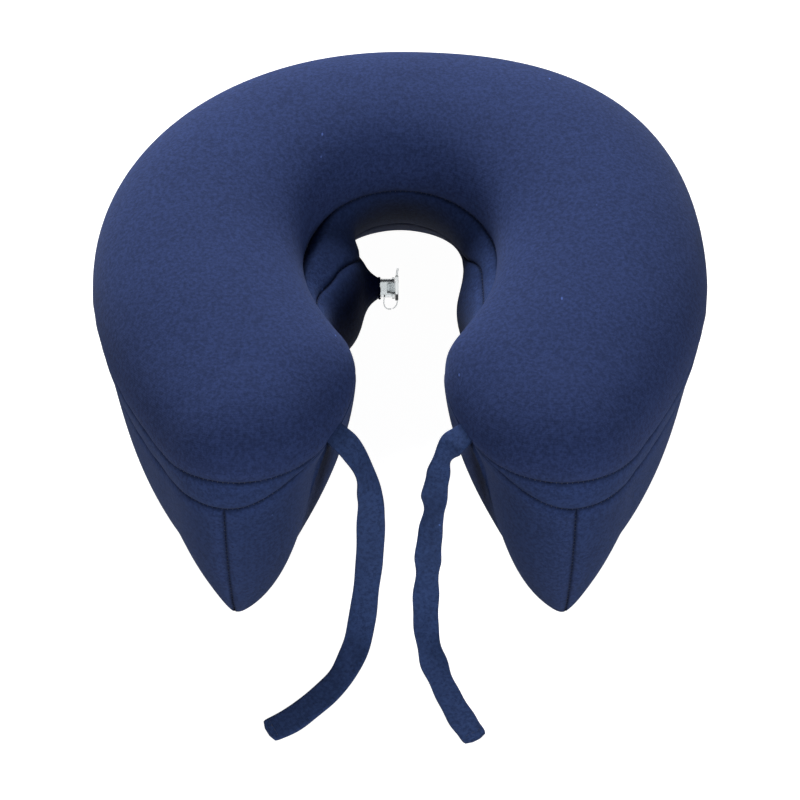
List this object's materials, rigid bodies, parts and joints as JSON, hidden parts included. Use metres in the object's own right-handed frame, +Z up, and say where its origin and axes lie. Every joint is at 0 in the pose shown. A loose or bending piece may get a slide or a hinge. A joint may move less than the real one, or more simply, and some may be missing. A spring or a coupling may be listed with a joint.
{
  "type": "inflatable neck pillow",
  "caption": "U-shaped inflatable neck pillow in a navy brushed-knit cover, with a clear air valve in its inner wall and a flat fabric tie at each horn.",
  "frame": {"origin": "on the surface the pillow stands on, below the middle of the pillow's outline, ties left out", "axes": "+Z up; +Y towards the closed back of the U; -Y towards the open side between the horns; +X to the right seen from the open side"},
  "size_m": [0.332, 0.3978, 0.138],
  "materials": {
    "knit": "matte",
    "knit_lower": "matte",
    "tie_fabric": "matte",
    "film": "satin",
    "clear_pvc": "gloss"
  },
  "bodies": {
    "pillow": {"cover_top_panel": "knit", "outer_gusset": "knit_lower", "inner_gusset": "knit_lower", "lower_outer_panel": "knit_lower", "lower_inner_panel": "knit_lower", "air_bladder": "film", "valve_flange": "clear_pvc", "tie_left": "tie_fabric", "tie_right": "tie_fabric"},
    "stem": {"valve_stem": "clear_pvc"},
    "plug": {"valve_plug": "clear_pvc"},
    "flap": {"valve_flap": "clear_pvc"}
  },
  "joints": [
    {"name": "valve_push", "type": "slide", "parent": "pillow", "child": "stem", "axis": [-1, 0, 0], "range_m": [0, 0.01]},
    {"name": "plug_swing", "type": "hinge", "parent": "stem", "child": "plug", "pos_m": [-0.004, 0.01532, 0.05446], "axis": [0, 0.6561, -0.7547], "range_deg": [0, 150]},
    {"name": "flap_swing", "type": "hinge", "parent": "stem", "child": "flap", "pos_m": [-0.017, 0.02657, 0.06423], "axis": [0, 0.6561, -0.7547], "range_deg": [0, 40]}
  ]
}
